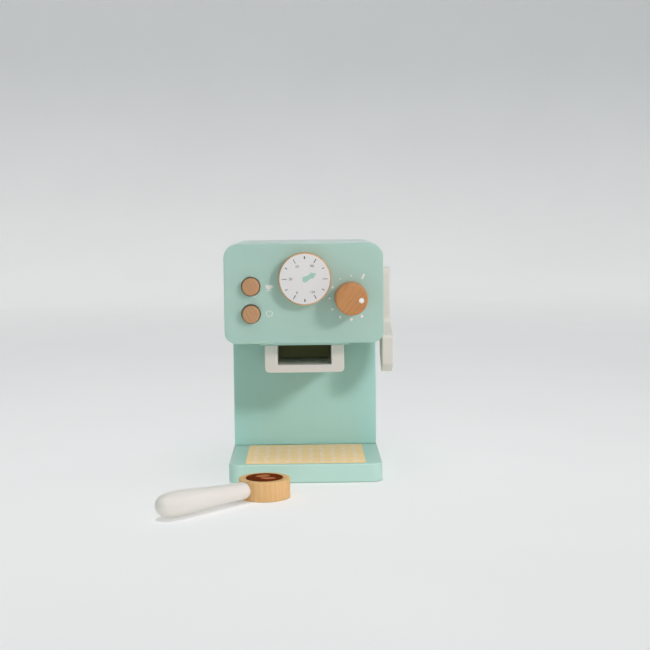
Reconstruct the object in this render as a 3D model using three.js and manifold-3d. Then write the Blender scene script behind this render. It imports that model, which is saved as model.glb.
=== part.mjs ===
// Wooden toy espresso machine with a loose filter holder (portafilter).
// Millimetres. +Z up, +X to the viewer's right, +Y towards the back.
// The origin is the centre of the base board's underside.

import * as THREE from 'three';
import { mergeVertices } from 'three/addons/utils/BufferGeometryUtils.js';
import Module from 'manifold-3d';

const wasm = await Module();
wasm.setup();

// ---------------------------------------------------------------- driving dimensions

const FRONT = -90;             // front plane of base and head
const BACK = 90;               // back plane of base, column and head
const GLUE = 0.2;              // glue line between boards

const BASE_W = 155.4;
const BASE_H = 19;
const BASE_CORNER_FRONT = 12;
const BASE_CORNER_BACK = 5;

const MAT_W = 121.6;
const MAT_Y0 = -85;
const MAT_Y1 = 15.6;
const MAT_T = 0.6;

const COLUMN_W = 154;
const COLUMN_Y = 20;           // front face of the column
const COLUMN_BOARD = 9;

const HEAD_W = 158.2;
const HEAD_Z0 = 141;
const HEAD_Z1 = 240.5;
const HEAD_R_TOP = 14.5;
const HEAD_R_BOTTOM = 11.5;
const PANEL_T = 10;            // front panel
const HEAD_WALL = 8;
const BACK_T = 9.8;            // back panels

const FLANGE_W = 90.5;
const FLANGE_T = 3.6;
const FLANGE_Y0 = -70;
const FLANGE_Y1 = 8;
const HOLDER_W = 80.4;
const HOLDER_WALL = 13;
const HOLDER_FLOOR = 8;
const HOLDER_Z0 = 109.1;
const HOLDER_Y0 = -68;
const HOLDER_Y1 = 6;
const HOLDER_STOP_T = 12;

const DIAL = { x: 1.1, z: 205.6, r: 25.85, proud: 11.5 };
const KNOB = { x: 46.7, z: 185.9, rBase: 16.4, rFront: 15.7, proud: 26 };
const SHAFT_R = 5;             // dowels the dial and the knob turn on
const SHAFT_HOLE_R = 5.3;
const RETAINER_R = 12;

const BUTTON_X = -52.4;
const BUTTON_Z = { upper: 198.1, lower: 170.8 };
const BUTTON_R = 8.75;
const BUTTON_HOLE_R = 9.6;
const BUTTON_PROUD = 7;
const BUTTON_FLANGE_R = 12;
const SPRING_BOARD_Y = -60;

const LEVER_X0 = 80;
const LEVER_T = 11.6;
const PIVOT = { y: 3.7, z: 202.3, r: 10.5 };

const FILTER = { x: -39.6, y: -149, turn: 134.4, r: 24.6, h: 18.6, handleZ: 10.4, handleTilt: 1 };
const COFFEE_R = 17.6;

// ---------------------------------------------------------------- materials

const paint = (color, roughness = 0.5, metalness = 0) =>
  new THREE.MeshStandardMaterial({ color, roughness, metalness });
const MINT = () => paint(0x9cc4b8, 0.45);
const CREAM = () => paint(0xd6d0c4, 0.5);
const BEECH = () => paint(0xc79a66, 0.6);
const PALE_WOOD = () => paint(0xdcb481, 0.6);
const DARK = () => paint(0x3a3a28, 0.7);
const YELLOW = () => paint(0xdcc692, 0.6);
const BROWN = () => paint(0x5e2414, 0.55);
const PLY = () => paint(0xcdb08a, 0.7);
const STEEL = () => paint(0x9a9c9e, 0.35, 0.9);

// ---------------------------------------------------------------- geometry helpers

// Merged, outward-facing, indexed copy of a closed geometry.
function closed(geometry) {
  const g = geometry.clone();
  g.deleteAttribute('normal');
  g.deleteAttribute('uv');
  const m = mergeVertices(g, 1e-4);
  const p = m.attributes.position.array;
  const tris = [];
  let volume = 0;
  for (let i = 0; i < m.index.count; i += 3) {
    const [a, b, c] = [m.index.getX(i), m.index.getX(i + 1), m.index.getX(i + 2)];
    if (a === b || b === c || a === c) continue;
    tris.push(a, b, c);
    const [A, B, C] = [3 * a, 3 * b, 3 * c];
    volume += p[A] * (p[B + 1] * p[C + 2] - p[B + 2] * p[C + 1])
      - p[A + 1] * (p[B] * p[C + 2] - p[B + 2] * p[C])
      + p[A + 2] * (p[B] * p[C + 1] - p[B + 1] * p[C]);
  }
  if (volume < 0) for (let i = 0; i < tris.length; i += 3) [tris[i], tris[i + 1]] = [tris[i + 1], tris[i]];
  const out = new THREE.BufferGeometry();
  out.setAttribute('position', new THREE.Float32BufferAttribute(Array.from(p), 3));
  out.setIndex(tris);
  return out;
}

const toSolid = (geometry) => {
  const g = closed(geometry);
  return new wasm.Manifold(new wasm.Mesh({
    numProp: 3,
    vertProperties: new Float32Array(g.attributes.position.array),
    triVerts: new Uint32Array(g.index.array),
  }));
};

const fromSolid = (solid) => {
  const mesh = solid.getMesh();
  const g = new THREE.BufferGeometry();
  g.setAttribute('position', new THREE.Float32BufferAttribute(Array.from(mesh.vertProperties), 3));
  g.setIndex(Array.from(mesh.triVerts));
  return g;
};

// The geometry with every cutter taken out of it.
const cut = (geometry, cutters) =>
  fromSolid(cutters.reduce((s, c) => s.subtract(toSolid(c)), toSolid(geometry)));

function piece(name, geometry, material, parent, x = 0, y = 0, z = 0) {
  const mesh = new THREE.Mesh(closed(geometry), material);
  mesh.geometry.computeVertexNormals();
  mesh.name = name;
  mesh.position.set(x, y, z);
  parent.add(mesh);
  return mesh;
}

// Closed outline of a rectangle with its own radius at each corner.
function roundedRect(x0, y0, x1, y1, rBL, rBR, rTR, rTL, seg = 7) {
  const pts = [];
  const arc = (cx, cy, r, a0) => {
    if (r <= 0) { pts.push(new THREE.Vector2(cx, cy)); return; }
    for (let i = 0; i <= seg; i++) {
      const a = a0 + (i / seg) * Math.PI / 2;
      pts.push(new THREE.Vector2(cx + r * Math.cos(a), cy + r * Math.sin(a)));
    }
  };
  arc(x1 - rBR, y0 + rBR, rBR, -Math.PI / 2);
  arc(x1 - rTR, y1 - rTR, rTR, 0);
  arc(x0 + rTL, y1 - rTL, rTL, Math.PI / 2);
  arc(x0 + rBL, y0 + rBL, rBL, Math.PI);
  return pts;
}

// Outline through the corners, each rounded with its own radius.
function filleted(corners, seg = 5) {
  const pts = [];
  const n = corners.length;
  for (let i = 0; i < n; i++) {
    const [x, y, r] = corners[i];
    const p = new THREE.Vector2(x, y);
    if (!r) { pts.push(p); continue; }
    const a = new THREE.Vector2(...corners[(i + n - 1) % n].slice(0, 2)).sub(p).normalize();
    const b = new THREE.Vector2(...corners[(i + 1) % n].slice(0, 2)).sub(p).normalize();
    const half = Math.acos(THREE.MathUtils.clamp(a.dot(b), -1, 1)) / 2;
    const d = r / Math.tan(half);
    const c = p.clone().addScaledVector(a.clone().add(b).normalize(), r / Math.sin(half));
    const s = p.clone().addScaledVector(a, d).sub(c);
    const e = p.clone().addScaledVector(b, d).sub(c);
    let sweep = Math.atan2(s.x * e.y - s.y * e.x, s.dot(e));
    const a0 = Math.atan2(s.y, s.x);
    for (let k = 0; k <= seg; k++) {
      const t = a0 + sweep * k / seg;
      pts.push(new THREE.Vector2(c.x + r * Math.cos(t), c.y + r * Math.sin(t)));
    }
  }
  return pts;
}

function circlePath(x, y, r, seg = 32) {
  const pts = [];
  for (let i = 0; i < seg; i++) {
    const a = -2 * Math.PI * i / seg;
    pts.push(new THREE.Vector2(x + r * Math.cos(a), y + r * Math.sin(a)));
  }
  return new THREE.Path(pts);
}

// Flat outline given a thickness, with softened edges. It fills z = 0 to t.
function slab(outline, t, holes = [], soft = 0.8, softSeg = 2) {
  const shape = new THREE.Shape(outline);
  shape.holes.push(...holes);
  const g = new THREE.ExtrudeGeometry(shape, {
    depth: t - 2 * soft, bevelEnabled: soft > 0, bevelThickness: soft, bevelSize: soft,
    bevelOffset: -soft, bevelSegments: softSeg, curveSegments: 1, steps: 1,
  });
  if (soft > 0) g.translate(0, 0, soft);
  return g;
}

// Stands a slab up so that its outline lies in X and Z, and its thickness runs to +Y from y = 0.
const upright = (g, t) => g.rotateX(Math.PI / 2).translate(0, t, 0);
// Turns a slab so that its outline lies in Y and Z, and its thickness runs to +X from x = 0.
const sideways = (g) => g.applyMatrix4(new THREE.Matrix4().makeBasis(
  new THREE.Vector3(0, 1, 0), new THREE.Vector3(0, 0, 1), new THREE.Vector3(1, 0, 0)));

const turned = (profile, seg = 48) =>
  new THREE.LatheGeometry(profile.map(([r, y]) => new THREE.Vector2(r, y)), seg);
// A plain round bar along Y from y0 to y1.
const bar = (r, y0, y1, seg = 24) => turned([[0, y0], [r, y0], [r, y1], [0, y1]], seg);

// Countersunk wood screw with a cross recess. Its head's face is at y = 0 and it points to +Y.
function woodScrew(headR, shankR, length) {
  const body = turned([[0, 0], [headR, 0], [headR, 0.4], [shankR, headR - shankR + 0.4],
    [shankR, length - 3], [0, length]], 12);
  const slot = () => new THREE.BoxGeometry(headR * 1.15, 2.2, 0.75).translate(0, 0.6, 0);
  return cut(body, [slot(), slot().rotateY(Math.PI / 2)]);
}
// The pocket that takes such a screw.
const screwPocket = (headR, shankR, length) =>
  turned([[0, -1], [headR + 0.3, -1], [headR + 0.3, 0.6], [shankR + 0.25, headR - shankR + 0.65],
    [shankR + 0.25, length + 0.6], [0, length + 0.6]], 12);

class Helix extends THREE.Curve {
  constructor(r, length, turns) { super(); Object.assign(this, { r, length, turns }); }
  getPoint(t, target = new THREE.Vector3()) {
    const a = 2 * Math.PI * this.turns * t;
    return target.set(this.r * Math.cos(a), this.length * t, this.r * Math.sin(a));
  }
}

const machine = new THREE.Group();

// ---------------------------------------------------------------- base

const base = new THREE.Group();
machine.add(base);

const SCREW = { head: 3.6, shank: 1.6 };
const baseScrews = [[-73, 36], [73, 36], [-73, 74], [73, 74]];
const backScrews = [[-75, 172], [75, 172], [-75, 214], [75, 214]];
const columnScrews = [[-73, 44], [73, 44], [-73, 118], [73, 118]];

piece('base_board', cut(
  slab(roundedRect(-BASE_W / 2, FRONT, BASE_W / 2, BACK,
    BASE_CORNER_FRONT, BASE_CORNER_FRONT, BASE_CORNER_BACK, BASE_CORNER_BACK, 6), BASE_H, [], 1.2, 2),
  baseScrews.map(([x, y]) => screwPocket(SCREW.head, SCREW.shank, 40)
    .rotateX(Math.PI / 2).translate(x, y, 0.4))), MINT(), base);

piece('drip_mat', new THREE.BoxGeometry(MAT_W, MAT_Y1 - MAT_Y0, MAT_T), YELLOW(), base,
  0, (MAT_Y0 + MAT_Y1) / 2, BASE_H + 0.05 + MAT_T / 2);

baseScrews.forEach(([x, y], i) => piece(`base_screw_${i + 1}`,
  woodScrew(SCREW.head, SCREW.shank, 40).rotateX(Math.PI / 2), STEEL(), base, x, y, 0.4));

// ---------------------------------------------------------------- column

const column = new THREE.Group();
column.position.set(0, COLUMN_Y, BASE_H + GLUE);
machine.add(column);

const COLUMN_H = HEAD_Z0 - BASE_H - 2 * GLUE;
const sideDepth = BACK - BACK_T - COLUMN_Y - COLUMN_BOARD - 2 * GLUE;

piece('column_front_panel', upright(
  slab(roundedRect(-COLUMN_W / 2, 0, COLUMN_W / 2, COLUMN_H, 0, 0, 0, 0), COLUMN_BOARD, [], 0.8, 2),
  COLUMN_BOARD), MINT(), column);

for (const [name, side] of [['column_side_left', -1], ['column_side_right', 1]]) {
  const x = side * (COLUMN_W / 2 - 4);
  const y = COLUMN_BOARD + GLUE + sideDepth / 2;
  const holes = [
    ...baseScrews.filter((s) => s[0] * side > 0).map((s) => screwPocket(SCREW.head, SCREW.shank, 40)
      .rotateX(Math.PI / 2).translate(s[0] - x, s[1] - COLUMN_Y - y, 0.4 - BASE_H - GLUE - COLUMN_H / 2)),
    ...columnScrews.filter((s) => s[0] * side > 0).map((s) => screwPocket(SCREW.head, SCREW.shank, 30)
      .rotateX(Math.PI).translate(s[0] - x, BACK - 0.3 - COLUMN_Y - y, s[1] - BASE_H - GLUE - COLUMN_H / 2)),
  ];
  piece(name, cut(new THREE.BoxGeometry(8, sideDepth, COLUMN_H), holes), MINT(), column,
    x, y, COLUMN_H / 2);
}

piece('column_back_panel', cut(upright(
  slab(roundedRect(-COLUMN_W / 2, 0, COLUMN_W / 2, COLUMN_H, 0, 0, 0, 0), BACK_T, [], 0.8, 2), BACK_T),
  columnScrews.map(([x, z]) => screwPocket(SCREW.head, SCREW.shank, 30).rotateX(Math.PI)
    .translate(x, BACK_T - 0.3, z - BASE_H - GLUE))), MINT(), column, 0, BACK - BACK_T - COLUMN_Y, 0);

columnScrews.forEach(([x, z], i) => piece(`column_back_screw_${i + 1}`,
  woodScrew(SCREW.head, SCREW.shank, 30).rotateX(Math.PI), STEEL(), column,
  x, BACK - 0.3 - COLUMN_Y, z - BASE_H - GLUE));

// ---------------------------------------------------------------- head

const head = new THREE.Group();
machine.add(head);

const headOutline = (inset, seg) => roundedRect(-HEAD_W / 2 + inset, HEAD_Z0 + inset, HEAD_W / 2 - inset,
  HEAD_Z1 - inset, Math.max(HEAD_R_BOTTOM - inset, 3), Math.max(HEAD_R_BOTTOM - inset, 3),
  Math.max(HEAD_R_TOP - inset, 3), Math.max(HEAD_R_TOP - inset, 3), seg);

piece('head_front_panel', upright(slab(headOutline(0, 7), PANEL_T, [
  circlePath(BUTTON_X, BUTTON_Z.upper, BUTTON_HOLE_R, 28),
  circlePath(BUTTON_X, BUTTON_Z.lower, BUTTON_HOLE_R, 28),
  circlePath(DIAL.x, DIAL.z, SHAFT_HOLE_R, 20),
  circlePath(KNOB.x, KNOB.z, SHAFT_HOLE_R, 20),
], 1, 2), PANEL_T), MINT(), head, 0, FRONT, 0);

const shellY0 = FRONT + PANEL_T + GLUE;
const shellLength = BACK - BACK_T - GLUE - shellY0;
piece('head_shell', cut(
  upright(slab(headOutline(0, 7), shellLength, [new THREE.Path(headOutline(HEAD_WALL, 4).reverse())], 0), shellLength),
  [
    bar(3.3, -12, 12, 24).rotateZ(Math.PI / 2).translate(HEAD_W / 2 - HEAD_WALL / 2, PIVOT.y - shellY0, PIVOT.z),
    ...backScrews.map(([x, z]) => screwPocket(SCREW.head, SCREW.shank, 30).rotateX(Math.PI)
      .translate(x, BACK - 0.3 - shellY0, z)),
  ]), MINT(), head, 0, shellY0, 0);

piece('head_back_panel', cut(upright(slab(headOutline(0, 7), BACK_T, [], 1, 2), BACK_T),
  backScrews.map(([x, z]) => screwPocket(SCREW.head, SCREW.shank, 30).rotateX(Math.PI)
    .translate(x, BACK_T - 0.3, z))), MINT(), head, 0, BACK - BACK_T, 0);

backScrews.forEach(([x, z], i) => piece(`head_back_screw_${i + 1}`,
  woodScrew(SCREW.head, SCREW.shank, 30).rotateX(Math.PI), STEEL(), head, x, BACK - 0.3, z));

// ---------------------------------------------------------------- filter holder under the head

const holder = new THREE.Group();
machine.add(holder);

const flangeZ1 = HEAD_Z0 - GLUE;
const flangeZ0 = flangeZ1 - FLANGE_T;
piece('holder_flange', slab(roundedRect(-FLANGE_W / 2, FLANGE_Y0, FLANGE_W / 2, FLANGE_Y1, 2, 2, 2, 2, 3),
  FLANGE_T, [], 0.6, 2), MINT(), holder, 0, 0, flangeZ0);

const holderTop = flangeZ0 - GLUE;
const w = HOLDER_W / 2;
const holderOutline = filleted([
  [-w, holderTop, 0], [-w, HOLDER_Z0, 4.5], [w, HOLDER_Z0, 4.5], [w, holderTop, 0],
  [w - HOLDER_WALL, holderTop, 0], [w - HOLDER_WALL, HOLDER_Z0 + HOLDER_FLOOR, 0.8],
  [-w + HOLDER_WALL, HOLDER_Z0 + HOLDER_FLOOR, 0.8], [-w + HOLDER_WALL, holderTop, 0],
], 6);
piece('filter_holder', upright(slab(holderOutline, HOLDER_Y1 - HOLDER_Y0, [], 0.7, 2), HOLDER_Y1 - HOLDER_Y0),
  CREAM(), holder, 0, HOLDER_Y0, 0);

piece('holder_back_stop', new THREE.BoxGeometry(HOLDER_W - 2 * HOLDER_WALL - 0.6, HOLDER_STOP_T,
  holderTop - HOLDER_Z0 - HOLDER_FLOOR - 0.5), DARK(), holder,
  0, HOLDER_Y1 - HOLDER_STOP_T / 2 - 0.7, (holderTop + HOLDER_Z0 + HOLDER_FLOOR) / 2 + 0.1);

// ---------------------------------------------------------------- dial and knob

// A wooden disc that turns on a dowel through the front panel, held by a retainer and a screw.
// Its own origin is on the panel's front face, on its axis.
function turningDisc(prefix, discName, spec, profile, blindY) {
  const g = new THREE.Group();
  g.position.set(spec.x, FRONT, spec.z);
  head.add(g);
  const dowelEnd = PANEL_T + 0.4;
  piece(discName, cut(turned(profile, 48), [bar(SHAFT_R + 0.2, blindY, 2)]), BEECH(), g);
  piece(`${prefix}_dowel`, cut(bar(SHAFT_R, blindY + 0.3, dowelEnd), [bar(1.8, dowelEnd - 9, dowelEnd + 1, 16)]),
    PALE_WOOD(), g);
  piece(`${prefix}_retainer`, cut(turned([[0, 0], [RETAINER_R, 0], [RETAINER_R, 4.4], [RETAINER_R - 0.6, 5], [0, 5]], 28),
    [bar(2, -1, 6, 16)]), PLY(), g, 0, dowelEnd + 0.3, 0);
  const screw = turned([[0, -8.4], [0.6, -8], [1.5, -6.5], [1.5, 5.3], [3.6, 5.3], [3.6, 6.4], [2.6, 7.4], [0, 7.4]], 14);
  const slot = () => new THREE.BoxGeometry(4, 1.6, 0.7).translate(0, 7.4, 0);
  piece(`${prefix}_screw`, cut(screw, [slot(), slot().rotateY(Math.PI / 2)]), STEEL(), g, 0, dowelEnd + 0.3, 0);
  return g;
}

const dp = DIAL.proud;
turningDisc('dial', 'dial_disc', DIAL, [
  [0, -dp], [DIAL.r - 0.9, -dp], [DIAL.r - 0.26, -dp + 0.26], [DIAL.r, -dp + 0.9],
  [DIAL.r, -1.2], [DIAL.r - 0.3, -0.7], [DIAL.r - 0.7, -0.5], [0, -0.5],
], -6.5);

const kp = KNOB.proud;
turningDisc('knob', 'knob', KNOB, [
  [0, -kp], [KNOB.rFront - 1.6, -kp], [KNOB.rFront - 0.8, -kp + 0.22], [KNOB.rFront - 0.22, -kp + 0.8],
  [KNOB.rFront, -kp + 1.6], [KNOB.rBase, -1.4], [KNOB.rBase - 0.3, -0.8], [KNOB.rBase - 0.8, -0.5], [0, -0.5],
], -18);

// ---------------------------------------------------------------- push buttons

// Turned in one piece: cap, retaining flange behind the panel, spigot for the spring.
for (const [name, z] of Object.entries(BUTTON_Z)) {
  const g = new THREE.Group();
  g.position.set(BUTTON_X, FRONT, z);
  head.add(g);
  const f = PANEL_T + 0.4;
  piece(`button_${name}`, turned([
    [0, -BUTTON_PROUD], [BUTTON_R - 1.7, -BUTTON_PROUD], [BUTTON_R - 0.75, -BUTTON_PROUD + 0.28],
    [BUTTON_R - 0.2, -BUTTON_PROUD + 0.85], [BUTTON_R, -BUTTON_PROUD + 1.7], [BUTTON_R, f],
    [BUTTON_FLANGE_R, f], [BUTTON_FLANGE_R, f + 3], [3.4, f + 3], [3.4, f + 8], [2.8, f + 8.6], [0, f + 8.6],
  ], 30), BEECH(), g);
  const s0 = f + 3.9;
  const s1 = SPRING_BOARD_Y - FRONT - 0.9;
  const ring = new THREE.Shape(circlePath(0, 0, 0.55, 6).getPoints());
  piece(`button_${name}_spring`, new THREE.ExtrudeGeometry(ring, {
    steps: 48, curveSegments: 1, bevelEnabled: false, extrudePath: new Helix(4.7, s1 - s0, 4.5),
  }), STEEL(), g, 0, s0, 0);
}

piece('spring_board', new THREE.BoxGeometry(44, 5, 62), PLY(), head, -47, SPRING_BOARD_Y + 2.5, 190.5);
piece('spring_post_upper', bar(4, FRONT + PANEL_T + 0.3, SPRING_BOARD_Y - 0.3, 24), PALE_WOOD(), head, BUTTON_X, 0, 216);
piece('spring_post_side', bar(4, FRONT + PANEL_T + 0.3, SPRING_BOARD_Y - 0.3, 24), PALE_WOOD(), head, -32.5, 0, 184.4);

// ---------------------------------------------------------------- side lever

const lever = new THREE.Group();
lever.position.set(LEVER_X0, 0, 0);
machine.add(lever);

// (y, z, corner radius): an arm that leans forward, then a foot with a slanted end
const leverOutline = filleted([
  [-5.32, PIVOT.z + PIVOT.r, 10.2],
  [-13.9, 156.5, 12],
  [-47, 143.2, 5],
  [-47, 113.6, 5],
  [-28.5, 104, 4],
  [-4.5, 119, 12],
  [-2.5, 139, 12],
  [6.5, 151, 12],
  [15.93, PIVOT.z + PIVOT.r, 10.2],
], 5);
const BOLT_R = 2.9;
const boltPocket = turned([[0, -1], [6.2, -1], [6.2, 0.9], [BOLT_R + 0.2, 4.2], [BOLT_R + 0.2, 14], [0, 14]], 24)
  .rotateZ(Math.PI / 2).translate(LEVER_T, PIVOT.y, PIVOT.z);
piece('side_lever', cut(sideways(slab(leverOutline, LEVER_T, [], 1.2, 2)), [boltPocket]), CREAM(), lever);

piece('lever_washer', turned([[3.2, 0], [8, 0], [8, 0.5], [3.2, 0.5], [3.2, 0]], 28).rotateZ(-Math.PI / 2),
  paint(0xe8e6e0, 0.5), lever, HEAD_W / 2 + 0.2 - LEVER_X0, PIVOT.y, PIVOT.z);

const hexRecess = new THREE.CylinderGeometry(2, 2, 4, 6).translate(0, 0.6, 0);
piece('lever_bolt', cut(turned([[0, 0.3], [5.8, 0.3], [5.8, 0.9], [BOLT_R, 4], [BOLT_R, 28.4], [BOLT_R - 0.8, 29.4], [0, 29.4]], 24),
  [hexRecess]).rotateZ(Math.PI / 2), STEEL(), lever, LEVER_T, PIVOT.y, PIVOT.z);

const hex = [0, 1, 2, 3, 4, 5].map((i) => new THREE.Vector2(6.2 * Math.cos(i * Math.PI / 3), 6.2 * Math.sin(i * Math.PI / 3)));
piece('lever_nut', sideways(slab(hex, 5, [circlePath(0, 0, BOLT_R + 0.15, 24)], 0)), STEEL(), lever,
  HEAD_W / 2 - HEAD_WALL - 5.3 - LEVER_X0, PIVOT.y, PIVOT.z);

// ---------------------------------------------------------------- portafilter, lying in front of the machine

const filter = new THREE.Group();
filter.position.set(FILTER.x, FILTER.y, 0);
filter.rotation.z = THREE.MathUtils.degToRad(FILTER.turn);
machine.add(filter);

const R = FILTER.r;
const H = FILTER.h;
piece('portafilter_head', cut(
  turned([[0, 0], [R - 0.9, 0], [R - 0.26, 0.26], [R, 0.9], [R, H - 0.9], [R - 0.26, H - 0.26], [R - 0.9, H],
    [COFFEE_R + 0.35, H], [COFFEE_R + 0.35, H - 1.9], [0, H - 1.9]], 48).rotateX(Math.PI / 2),
  [bar(4.3, 12, 30).translate(0, 0, FILTER.handleZ)]), PALE_WOOD(), filter);

piece('coffee_disc', turned([[0, 0], [COFFEE_R, 0], [COFFEE_R, 2], [COFFEE_R - 0.4, 2.4], [0, 2.4]], 40)
  .rotateX(Math.PI / 2), BROWN(), filter, 0, 0, H - 1.6);

const handleProfile = [
  [0, 25.4], [5.4, 25.4], [7.0, 26.1], [8.0, 27.7], [8.3, 30], [8.45, 36], [8.7, 46], [9.05, 57], [9.5, 66], [10.05, 75],
  [10.6, 84], [11.1, 92], [11.5, 99], [11.7, 105.5], [11.65, 111], [11.35, 115.6], [10.6, 119.5], [9.4, 122.7],
  [7.6, 125.5], [5.4, 127.4], [2.8, 128.6], [0, 129],
];
// The handle rises a little from the cup's side, so that its thick end lies on the floor.
const alongHandle = (g) => g.translate(0, -R, 0).rotateX(THREE.MathUtils.degToRad(FILTER.handleTilt))
  .translate(0, R, FILTER.handleZ);
piece('portafilter_handle', alongHandle(cut(turned(handleProfile, 24), [bar(4.3, 20, 44)])), CREAM(), filter);

piece('handle_dowel', alongHandle(bar(4, 12.4, 43.6, 24)), PALE_WOOD(), filter);

export default machine;
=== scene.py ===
import math

import bpy
import bmesh
from mathutils import Matrix, Vector


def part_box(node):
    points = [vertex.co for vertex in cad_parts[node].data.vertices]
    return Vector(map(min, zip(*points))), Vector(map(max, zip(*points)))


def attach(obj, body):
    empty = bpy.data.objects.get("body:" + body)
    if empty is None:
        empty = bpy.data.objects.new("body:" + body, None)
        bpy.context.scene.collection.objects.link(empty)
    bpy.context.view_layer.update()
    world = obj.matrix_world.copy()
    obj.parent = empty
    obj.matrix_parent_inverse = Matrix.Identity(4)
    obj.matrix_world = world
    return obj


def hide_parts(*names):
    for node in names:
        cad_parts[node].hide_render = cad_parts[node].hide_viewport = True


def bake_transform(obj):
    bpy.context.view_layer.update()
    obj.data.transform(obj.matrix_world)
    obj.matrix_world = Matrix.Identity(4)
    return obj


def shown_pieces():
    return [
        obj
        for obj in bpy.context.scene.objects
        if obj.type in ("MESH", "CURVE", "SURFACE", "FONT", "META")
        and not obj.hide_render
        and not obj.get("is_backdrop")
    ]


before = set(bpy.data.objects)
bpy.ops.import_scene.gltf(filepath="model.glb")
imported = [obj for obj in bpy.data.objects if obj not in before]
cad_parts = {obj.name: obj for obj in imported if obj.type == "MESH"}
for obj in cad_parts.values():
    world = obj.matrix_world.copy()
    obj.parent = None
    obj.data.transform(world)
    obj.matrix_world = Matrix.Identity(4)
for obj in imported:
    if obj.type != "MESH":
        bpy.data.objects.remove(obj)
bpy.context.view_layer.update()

MM = 0.001

# ------------------------------------------------------------------ camera

cam_data = bpy.data.cameras.new("camera")
cam = bpy.data.objects.new("camera", cam_data)
bpy.context.scene.collection.objects.link(cam)
bpy.context.scene.camera = cam
cam_data.sensor_width = 36.0
cam_data.lens = 1250.0 / 650.0 * 36.0
cam_data.clip_start, cam_data.clip_end = 0.05, 50.0


def aim(obj, place, yaw, pitch, roll):
    """yaw to the right of +Y, pitch down, roll so that level lines rise to the right, all in degrees."""
    y, p, r = (math.radians(v) for v in (yaw, pitch, roll))
    ahead = Vector((math.sin(y) * math.cos(p), math.cos(y) * math.cos(p), -math.sin(p)))
    right = Vector((math.cos(y), -math.sin(y), 0.0))
    up = right.cross(ahead)
    right2 = right * math.cos(r) - up * math.sin(r)
    up2 = up * math.cos(r) + right * math.sin(r)
    m = Matrix((right2, up2, -ahead)).transposed().to_4x4()
    m.translation = Vector(place)
    obj.matrix_world = m


aim(cam, (0.0010, -1.3272, 0.2676), 0.915, 5.009, 0.605)

# ------------------------------------------------------------------ mesh helpers

CREASE = math.radians(32)


def finish_mesh(name, bm, body, replaced=(), mats=(), weighted=True, scale=MM):
    """Turns a bmesh in millimetres into a smooth-shaded piece that rides on a body."""
    bmesh.ops.remove_doubles(bm, verts=bm.verts, dist=1e-4)
    bmesh.ops.recalc_face_normals(bm, faces=bm.faces)
    me = bpy.data.meshes.new(name)
    for v in bm.verts:
        v.co *= scale
    bm.to_mesh(me)
    bm.free()
    for p in me.polygons:
        p.use_smooth = True
    me.set_sharp_from_angle(angle=CREASE)
    for m in mats:
        me.materials.append(m)
    obj = bpy.data.objects.new(name, me)
    bpy.context.scene.collection.objects.link(obj)
    if weighted:
        w = obj.modifiers.new("weighted_normals", "WEIGHTED_NORMAL")
        w.mode = "FACE_AREA"
        w.weight = 90
        w.keep_sharp = True
    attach(obj, body)
    if replaced:
        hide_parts(*replaced)
    return obj


def offset_loop(loop, d):
    """The loop moved to its left by d: inwards for a counter-clockwise outline, into the material for a clockwise hole."""
    n, out = len(loop), []
    for i in range(n):
        a, b, c = (Vector(loop[j % n]) for j in (i - 1, i, i + 1))
        e1, e2 = (b - a).normalized(), (c - b).normalized()
        n1, n2 = Vector((-e1.y, e1.x)), Vector((-e2.y, e2.x))
        m = n1 + n2
        m.normalize()
        out.append(b + m * (d / max(m.dot(n1), 0.35)))
    return out


def arc_corner(cx, cy, r, a0, seg):
    if r <= 0:
        return [(cx, cy)]
    return [
        (cx + r * math.cos(a0 + i / seg * math.pi / 2), cy + r * math.sin(a0 + i / seg * math.pi / 2))
        for i in range(seg + 1)
    ]


def rounded_rect(x0, y0, x1, y1, bl, br, tr, tl, seg=14):
    return (
        arc_corner(x1 - br, y0 + br, br, -math.pi / 2, seg)
        + arc_corner(x1 - tr, y1 - tr, tr, 0, seg)
        + arc_corner(x0 + tl, y1 - tl, tl, math.pi / 2, seg)
        + arc_corner(x0 + bl, y0 + bl, bl, math.pi, seg)
    )


def filleted(corners, seg=12):
    pts, n = [], len(corners)
    for i in range(n):
        x, y, r = corners[i]
        p = Vector((x, y))
        if not r:
            pts.append((x, y))
            continue
        a = (Vector(corners[i - 1][:2]) - p).normalized()
        b = (Vector(corners[(i + 1) % n][:2]) - p).normalized()
        half = math.acos(max(-1.0, min(1.0, a.dot(b)))) / 2
        c = p + (a + b).normalized() * (r / math.sin(half))
        s = p + a * (r / math.tan(half)) - c
        e = p + b * (r / math.tan(half)) - c
        sweep = math.atan2(s.x * e.y - s.y * e.x, s.dot(e))
        a0 = math.atan2(s.y, s.x)
        pts += [
            (c.x + r * math.cos(a0 + sweep * k / seg), c.y + r * math.sin(a0 + sweep * k / seg))
            for k in range(seg + 1)
        ]
    return pts


def circle(x, y, r, seg=48, clockwise=True):
    s = -1 if clockwise else 1
    return [(x + r * math.cos(s * 2 * math.pi * i / seg), y + r * math.sin(s * 2 * math.pi * i / seg)) for i in range(seg)]


def area(loop):
    return sum(loop[i - 1][0] * loop[i][1] - loop[i][0] * loop[i - 1][1] for i in range(len(loop))) / 2


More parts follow.
